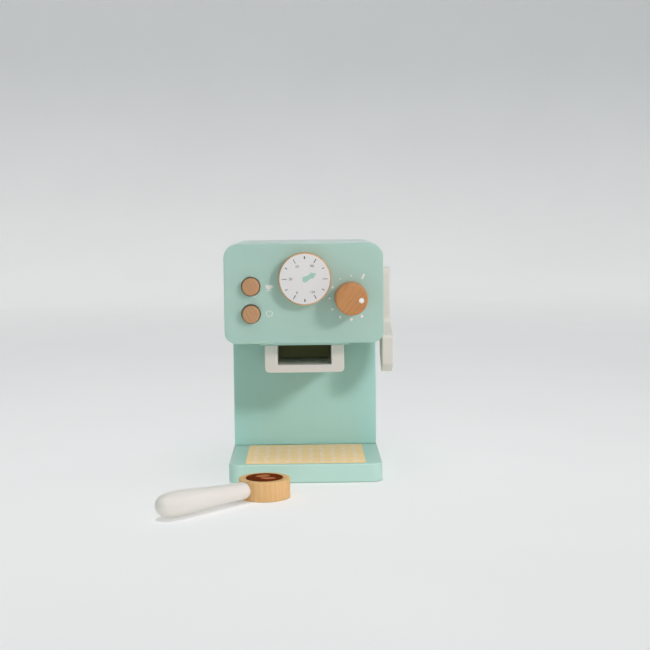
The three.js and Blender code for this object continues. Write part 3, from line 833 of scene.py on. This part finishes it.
# open ring beside the lower button
rx, rz = -34.4, 171.2
arcs = [ring_arc(rx, rz, 2.75, 3.35, a, b) for a, b in ((-62, 55), (125, 200), (212, 285))]
tick = [(rx - 0.3, rz + 1.5), (rx + 0.3, rz + 1.5), (rx + 0.3, rz + 3.3), (rx - 0.3, rz + 3.3)]
print_piece("sign_ring", arcs + [tick], FRONT, 0.05, "machine", ink_white)

# ------------------------------------------------------------------ lever

PY, PZ, PR = 3.7, 202.3, 10.5
LEVER_IN, LEVER_OUT = 80.0, 91.6
LEVER = filleted([
    (-5.32, PZ + PR, 10.2), (-13.9, 156.5, 12), (-47, 143.2, 5), (-47, 113.6, 5), (-28.5, 104, 4), (-4.5, 119, 12),
    (-2.5, 139, 12), (6.5, 151, 12), (15.93, PZ + PR, 10.2)], 16)
finish_mesh("lever_board", plate(LEVER, 0, LEVER_OUT - LEVER_IN, sideways(LEVER_IN), soft=1.4, steps=6,
                                 holes=[circle(PY, PZ, 6.1, 48)], hole_soft=0.3),
            "lever", ["side_lever"], [cream])


HEAD_X = LEVER_OUT - 0.3


def bolt_mesh():
    """Countersunk machine screw with a hexagon socket; its head faces +X."""
    prof = smooth_profile([(2.4, 0.0), (5.8, 0.0, 0.3), (5.8, 0.7, 0.15), (2.9, 3.8), (2.9, 28.2), (2.1, 29.1), (0, 29.1)], 4)
    place = lambda a, b, c: Vector((HEAD_X - b, PY + a, PZ + c))
    bm = lathe(prof, place, 48)
    ring = [v for v in bm.verts if abs(v.co.x - HEAD_X) < 1e-6 and abs(math.hypot(v.co.y - PY, v.co.z - PZ) - 2.4) < 1e-3]
    ring.sort(key=lambda v: math.atan2(v.co.z - PZ, v.co.y - PY))
    hexes = [[bm.verts.new((HEAD_X - d, PY + r * math.cos(math.pi / 3 * i), PZ + r * math.sin(math.pi / 3 * i))) for i in range(6)]
             for r, d in ((2.1, 0.0), (2.0, 0.12), (2.0, 2.4))]
    for a, b in zip(hexes, hexes[1:]):
        for i in range(6):
            bm.faces.new((a[i], a[(i + 1) % 6], b[(i + 1) % 6], b[i]))
    bm.faces.new(hexes[-1])
    outer = [bm.edges.get((ring[i], ring[(i + 1) % len(ring)])) for i in range(len(ring))]
    inner = [bm.edges.get((hexes[0][i], hexes[0][(i + 1) % 6])) for i in range(6)]
    bmesh.ops.triangle_fill(bm, use_beauty=True, edges=outer + inner)
    return bm


finish_mesh("lever_bolt_fine", bolt_mesh(), "machine", ["lever_bolt"], [steel])

# ------------------------------------------------------------------ portafilter

FX, FY, TURN = -39.6, -149.0, math.radians(134.4)
FR, FH, COFFEE = 24.6, 18.6, 17.6
AXIS_Z, AXIS_TILT = 10.4, math.radians(1.0)


def in_filter(x, y, z):
    """A point of the portafilter's own frame, handle along +Y, in the row frame."""
    c, s = math.cos(TURN), math.sin(TURN)
    return Vector((FX + x * c - y * s, FY + x * s + y * c, z))


def upright_turned(a, b, c):
    return in_filter(a, -c, b)


finish_mesh("filter_cup", lathe(smooth_profile([
    (0, 0), (FR, 0, 1.0), (FR, FH, 0.8), (COFFEE + 0.25, FH, 0.35), (COFFEE + 0.25, FH - 1.9), (0, FH - 1.9)], 7),
    upright_turned, 144), "portafilter", ["portafilter_head"], [pale])
finish_mesh("coffee_top", lathe(smooth_profile([
    (0, FH + 0.74), (COFFEE, FH + 0.74, 0.45), (COFFEE, FH - 1.6), (0, FH - 1.6)], 5),
    upright_turned, 96), "portafilter", ["coffee_disc"], [coffee])


def bean(cx, cy, length, width, turn, seg=40):
    """A plain bean outline and the curved line down its middle."""
    c, s = math.cos(math.radians(turn)), math.sin(math.radians(turn))

    def at(u, v):
        return (cx + u * c - v * s, cy + u * s + v * c)
    outline = [at(length / 2 * math.cos(2 * math.pi * i / seg), width / 2 * math.sin(2 * math.pi * i / seg)) for i in range(seg)]
    mid = []
    for i in range(17):
        u = -0.47 * length + 0.94 * length * i / 16
        mid.append((u, 0.17 * width * math.sin(2 * math.pi * i / 16)))
    w = width * 0.05
    line = [at(u, v - w) for u, v in mid] + [at(u, v + w) for u, v in reversed(mid)]
    return outline, line


def filter_print(name, loops, z0, z1, material):
    bm = bmesh.new()
    for loop in loops:
        part = plate(loop, z0, z1, lambda u, v, t: in_filter(u, v, t), soft=0.02, steps=1)
        tmp = bpy.data.meshes.new("tmp")
        part.to_mesh(tmp)
        part.free()
        bm.from_mesh(tmp)
        bpy.data.meshes.remove(tmp)
    return finish_mesh(name, bm, "portafilter", mats=[material])


# seen from the front the two beans lie side by side; the portafilter's own frame is turned by TURN
def seen(x, y):
    c, s = math.cos(-TURN), math.sin(-TURN)
    return (x * c - y * s, x * s + y * c)


b1, l1 = bean(*seen(-1.6, 5.2), 14.5, 9.4, 28 - math.degrees(TURN))
b2, l2 = bean(*seen(3.6, -5.6), 14.5, 9.0, -14 - math.degrees(TURN))
top = FH + 0.74
filter_print("bean_print", [b1, b2], top - 0.05, top + 0.035, bean_ink)
filter_print("bean_lines", [l1, l2], top, top + 0.055, bean_line)


def handle_mesh():
    """Turned club handle; its inner end is coped to the cup's side."""
    prof = [(0, FR + 0.12), (5.2, FR + 0.12), (6.6, FR + 0.42), (7.6, FR + 1.3), (8.1, FR + 2.9), (8.3, FR + 5.4)]
    body = [(8.45, 36), (8.7, 46), (9.05, 57), (9.5, 66), (10.05, 75), (10.6, 84), (11.1, 92), (11.5, 99), (11.7, 105.5),
            (11.65, 111), (11.35, 115.6), (10.6, 119.5), (9.4, 122.7), (7.6, 125.5), (5.4, 127.4), (2.8, 128.6), (0, 129)]
    pts = prof + catmull(body, 4)
    pts = [(r * 0.996, min(y, 128.93)) for r, y in pts]
    bm = lathe(pts, lambda a, b, c: Vector((a, b, c)), 72)
    c, s = math.cos(AXIS_TILT), math.sin(AXIS_TILT)
    for v in bm.verts:
        if v.co.y < 40:
            w = 1 - max(0.0, min(1.0, (v.co.y - FR - 1.0) / 12.0))
            x = max(-FR, min(FR, v.co.x))
            v.co.y += (math.sqrt(FR * FR - x * x) - FR) * w * w * (3 - 2 * w)
        y, z = v.co.y - FR, v.co.z
        v.co = in_filter(v.co.x, FR + y * c - z * s, AXIS_Z + y * s + z * c)
    return bm


def catmull(pts, k):
    out = []
    n = len(pts)
    for i in range(n - 1):
        p0, p1, p2, p3 = (Vector(pts[max(0, min(n - 1, j))]) for j in (i - 1, i, i + 1, i + 2))
        for s in range(k):
            t = s / k
            out.append(tuple(0.5 * ((2 * p1) + (p2 - p0) * t + (2 * p0 - 5 * p1 + 4 * p2 - p3) * t * t
                                    + (3 * p1 - p0 - 3 * p2 + p3) * t * t * t)))
    out.append(tuple(pts[-1]))
    return [(max(0.0, min(11.7, r)), min(129.0, y)) for r, y in out]


finish_mesh("filter_handle", handle_mesh(), "portafilter", ["portafilter_handle"], [handle_cream])

# ------------------------------------------------------------------ screws and the pieces that stay as they are


def screw_mesh(head_r, shank_r, length, place):
    """Countersunk wood screw with a cross recess, its head's face at y = 0 and its point along +y."""
    bm = bmesh.new()
    arm, wide = head_r * 0.56, 0.42
    cross = [(arm, wide), (wide, wide), (wide, arm), (-wide, arm), (-wide, wide), (-arm, wide),
             (-arm, -wide), (-wide, -wide), (-wide, -arm), (wide, -arm), (wide, -wide), (arm, -wide)]
    prof = smooth_profile([(head_r * 0.72, 0.0), (head_r, 0.05, 0.12), (head_r - 0.05, 0.45, 0.1),
                           (shank_r, head_r - shank_r + 0.45), (shank_r, length - 3), (0, length)], 4)
    lathe(prof, place, 40, bm)
    target = place(head_r * 0.72, 0.0, 0.0)
    centre = place(0.0, 0.0, 0.0)
    ring = bm.verts[:40] if hasattr(bm.verts, "__getitem__") else []
    bm.verts.ensure_lookup_table()
    ring = [bm.verts[i] for i in range(40)]
    rows = []
    for k, d in ((1.0, 0.0), (0.96, 0.1), (0.7, 1.5)):
        rows.append([bm.verts.new(place(x * k, d, z * k)) for x, z in cross])
    n = len(cross)
    for a, b in zip(rows, rows[1:]):
        for i in range(n):
            bm.faces.new((a[i], a[(i + 1) % n], b[(i + 1) % n], b[i]))
    bm.faces.new(rows[-1])
    outer = [bm.edges.get((ring[i], ring[(i + 1) % 40])) for i in range(40)]
    inner = [bm.edges.get((rows[0][i], rows[0][(i + 1) % n])) for i in range(n)]
    bmesh.ops.triangle_fill(bm, use_beauty=True, edges=outer + inner)
    return bm


def screw_place(x, y, z, to):
    if to == "up":
        return lambda a, b, c: Vector((x + a, y - c, z + b))
    return lambda a, b, c: Vector((x - a, y - b, z + c))


for i, (x, y) in enumerate(((-73, 36), (73, 36), (-73, 74), (73, 74))):
    finish_mesh(f"base_screw_{i + 1}_fine", screw_mesh(3.6, 1.6, 40, screw_place(x, y, 0.4, "up")),
                "machine", [f"base_screw_{i + 1}"], [steel])
for i, (x, z) in enumerate(((-75, 172), (75, 172), (-75, 214), (75, 214))):
    finish_mesh(f"head_back_screw_{i + 1}_fine", screw_mesh(3.6, 1.6, 30, screw_place(x, 89.7, z, "front")),
                "machine", [f"head_back_screw_{i + 1}"], [steel])
for i, (x, z) in enumerate(((-73, 44), (73, 44), (-73, 118), (73, 118))):
    finish_mesh(f"column_back_screw_{i + 1}_fine", screw_mesh(3.6, 1.6, 30, screw_place(x, 89.7, z, "front")),
                "machine", [f"column_back_screw_{i + 1}"], [steel])

def spring_mesh(x, z, y0, y1, mean=4.7, wire=0.55, turns=4.5, closed=0.8):
    """Round-wire compression spring along Y, its end coils closed up and its cut ends rounded off."""
    bm, rows, n, sides = bmesh.new(), [], 200, 14
    for i in range(n + 1):
        t = turns * i / n
        # the pitch eases off in the end coils
        u = t / turns
        e = closed / turns
        lift = u - e * (math.sin(math.pi * 2 * u) / math.pi) * 0.5
        a = 2 * math.pi * t
        y = y0 + (y1 - y0) * lift
        centre = Vector((x + mean * math.cos(a), y, z + mean * math.sin(a)))
        radial = Vector((math.cos(a), 0, math.sin(a)))
        slope = (y1 - y0) * (1 - e * math.cos(math.pi * 2 * u)) / turns
        along = Vector((-2 * math.pi * mean * math.sin(a), slope, 2 * math.pi * mean * math.cos(a))).normalized()
        side = along.cross(radial).normalized()
        d = min(i, n - i)
        r = wire * (0.55, 0.85, 1.0)[min(d, 2)]
        rows.append([bm.verts.new(centre + (radial * math.cos(b) + side * math.sin(b)) * r)
                     for b in (2 * math.pi * k / sides for k in range(sides))])
    for a, b in zip(rows, rows[1:]):
        for k in range(sides):
            j = (k + 1) % sides
            bm.faces.new((a[k], a[j], b[j], b[k]))
    bm.faces.new(rows[0])
    bm.faces.new(rows[-1])
    return bm


for which, z in BUTTON_Z.items():
    lo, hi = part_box(f"button_{which}_spring")
    y0, y1 = lo[1] * 1000 + 0.6, hi[1] * 1000 - 0.6
    bm = spring_mesh(BUTTON_X, z, y0, y1)
    bmesh.ops.recalc_face_normals(bm, faces=bm.faces)
    me = bpy.data.meshes.new(f"button_{which}_coil")
    for v in bm.verts:
        v.co *= MM
    bm.to_mesh(me)
    bm.free()
    for p in me.polygons:
        p.use_smooth = True
    me.set_sharp_from_angle(angle=CREASE)
    me.materials.append(spring_steel)
    obj = bpy.data.objects.new(f"button_{which}_coil", me)
    bpy.context.scene.collection.objects.link(obj)
    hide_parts(f"button_{which}_spring")
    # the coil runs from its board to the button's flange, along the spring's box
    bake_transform(obj)

KEEP = {
    "dial_dowel": pale_bar, "dial_retainer": ply, "dial_screw": steel,
    "knob_dowel": pale_bar, "knob_retainer": ply, "knob_screw": steel,
    "spring_board": ply, "spring_post_upper": pale_bar, "spring_post_side": pale_bar,
    "lever_washer": nylon, "lever_nut": steel, "handle_dowel": pale,
}
for node, material in KEEP.items():
    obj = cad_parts[node]
    obj.data.materials.clear()
    obj.data.materials.append(material)

# ------------------------------------------------------------------ stage and light


def stage_material():
    n = Nodes("stage_white")
    n.base(n.mix(n.map(n.noise(n.mm, 0.004, 2, 0.5), 0.3, 0.7, 0, 1), (0.80, 0.80, 0.80), (0.815, 0.815, 0.815)))
    n.rough(0.9)
    n.const(specular=0.2)
    return n.mat


def stage_mesh():
    """A wide round floor whose far rim sweeps up into a low wall, so that every side has a plain ground."""
    bm = bmesh.new()
    prof = [(0.0, 0.0), (1.0, 0.0), (2.0, 0.0), (2.6, 0.0)]
    for i in range(1, 13):
        a = i / 12 * math.pi / 2
        prof.append((2.6 + 0.9 * math.sin(a), 0.9 * (1 - math.cos(a))))
    prof.append((3.5, 1.5))
    lathe([(r, z) for r, z in prof], lambda a, b, c: Vector((a, c, b - 0.00002)), 128, bm)
    me = bpy.data.meshes.new("stage_floor")
    bmesh.ops.recalc_face_normals(bm, faces=bm.faces)
    bm.to_mesh(me)
    bm.free()
    for p in me.polygons:
        p.use_smooth = True
    me.materials.append(stage_material())
    obj = bpy.data.objects.new("stage_floor", me)
    bpy.context.scene.collection.objects.link(obj)
    obj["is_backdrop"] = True
    return obj


floor = stage_mesh()

world = bpy.data.worlds.new("world")
bpy.context.scene.world = world
world.use_nodes = True
bg = world.node_tree.nodes["Background"]
bg.inputs[0].default_value = (0.84, 1.0, 1.02, 1)
bg.inputs[1].default_value = 0.27


def point_at(obj, direction):
    """The light shines from direction towards the origin."""
    obj.rotation_mode = "QUATERNION"
    obj.rotation_quaternion = Vector(direction).to_track_quat("Z", "Y")


def sun(name, direction, strength, angle, colour=(1, 1, 1)):
    data = bpy.data.lights.new(name, "SUN")
    data.energy = strength
    data.angle = math.radians(angle)
    data.color = colour
    obj = bpy.data.objects.new(name, data)
    bpy.context.scene.collection.objects.link(obj)
    point_at(obj, direction)
    return obj


key = sun("key", (0.88, -1.0, 0.58), 0.75, 12.0, (1.0, 0.83, 0.86))
top = sun("top", (0.05, -0.12, 1.0), 0.92, 40.0, (1.0, 0.97, 0.98))

# key and top light are for the object; the floor has lights of its own, which give it only a soft shade
only_object = bpy.data.collections.new("object_receivers")
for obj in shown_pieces():
    only_object.objects.link(obj)
key.light_linking.receiver_collection = only_object
top.light_linking.receiver_collection = only_object


def receivers(name, starts):
    col = bpy.data.collections.new(name)
    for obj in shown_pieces():
        if obj.name.startswith(starts):
            col.objects.link(obj)
    return col


def fill(name, starts, direction, strength, angle, colour=(1, 1, 1), blockers=None):
    light = sun(name, direction, strength, angle, colour)
    light.light_linking.receiver_collection = receivers(name + "_receivers", starts)
    if blockers:
        light.light_linking.blocker_collection = receivers(name + "_blockers", blockers)
    return light


# soft lights from the front open up the shade between base and head, and the portafilter's side
BASE = ("base", "holder_stop", "mat_")
fill("low_fill", BASE + ("holder",), (0.35, -1.0, 0.1), 0.13, 60.0, (1.0, 0.72, 0.72))
fill("slot_fill", ("holder_stop",), (0.1, -1.0, 0.15), 0.5, 50.0, (1.0, 0.95, 0.85))
fill("front_fill", BASE, (0.15, -1.0, 0.7), 1.2, 56.0, (1.0, 0.92, 0.98))
fill("mat_fill", ("mat_",), (0.1, -0.5, 1.0), 0.46, 50.0, (1.0, 0.8, 0.68))
fill("filter_fill", ("filter_",), (0.1, -1.0, 0.0), 0.46, 40.0)
# the column, in the shade of the head, has mint all round it: what reaches it is tinted
fill("column_fill", ("column",), (0.15, -1.0, 0.6), 0.38, 56.0, (0.34, 1.0, 1.1))
fill("column_key", ("column",), (0.88, -1.0, 0.58), 0.93, 12.0, (0.98, 0.95, 1.1))
# a low light from behind gives the head's top edge its pale glint
fill("rim", ("head",), (0.1, 1.0, 0.22), 0.85, 30.0, (1.0, 0.72, 0.82))

only_floor = bpy.data.collections.new("floor_receivers")
only_floor.objects.link(floor)
floor_soft = sun("floor_soft", (0.5, -0.6, 1.0), 0.35, 90.0, (1.0, 0.965, 0.96))
floor_soft.light_linking.receiver_collection = only_floor
floor_even = sun("floor_even", (0.0, -0.1, 1.0), 0.42, 60.0, (1.0, 0.965, 0.96))
floor_even.light_linking.receiver_collection = only_floor
floor_even.light_linking.blocker_collection = only_floor
# the far wall of the stage, which the lights from above hardly reach
wall_light = sun("wall_light", (0.0, -1.0, 0.12), 0.75, 60.0, (1.0, 0.985, 0.98))
wall_light.light_linking.receiver_collection = only_floor
wall_light.light_linking.blocker_collection = only_floor
# only what touches the floor shades it: a thin dark line under the portafilter and the base
floor_contact = sun("floor_contact", (-0.03, 0.05, 1.0), 0.98, 9.0, (1.0, 0.965, 0.96))
floor_contact.light_linking.receiver_collection = only_floor
floor_contact.light_linking.blocker_collection = receivers("contact_blockers", ("filter_", "base"))


def spot(name, place, target, power, radius, size, blend, colour=(1, 1, 1)):
    data = bpy.data.lights.new(name, "SPOT")
    data.energy, data.shadow_soft_size = power, radius
    data.color = colour
    data.spot_size, data.spot_blend = math.radians(size), blend
    obj = bpy.data.objects.new(name, data)
    bpy.context.scene.collection.objects.link(obj)
    obj.location = place
    point_at(obj, Vector(place) - Vector(target))
    return obj


# a pool of light on the floor in front
pool = spot("floor_pool", (0.0, -0.6, 2.4), (-0.06, -0.15, 0.0), 47.0, 0.5, 60.0, 1.0, (1.0, 0.985, 0.985))
pool.light_linking.receiver_collection = only_floor
pool.light_linking.blocker_collection = only_floor

# a second key, near, from the same side: the front is a little brighter towards the lever
near = spot("key_near", (0.485, -0.60, 0.48), (0.0, -0.05, 0.15), 5.8, 0.08, 100.0, 0.3, (1.0, 0.83, 0.86))
near.light_linking.receiver_collection = only_object

# a weak light lower down on the right, for all but the boards of head and column
side = spot("side_fill", (0.55, -0.5, 0.12), (0.0, -0.05, 0.13), 0.9, 0.15, 60.0, 1.0)
side.light_linking.receiver_collection = receivers("side_receivers", (
    "base", "mat_", "holder", "dial", "knob", "button", "lever", "filter_", "coffee", "bean", "handle"))

scene = bpy.context.scene
scene.view_settings.view_transform = "Standard"
scene.view_settings.look = "None"
scene.view_settings.exposure = 0.0
scene.view_settings.gamma = 1.0
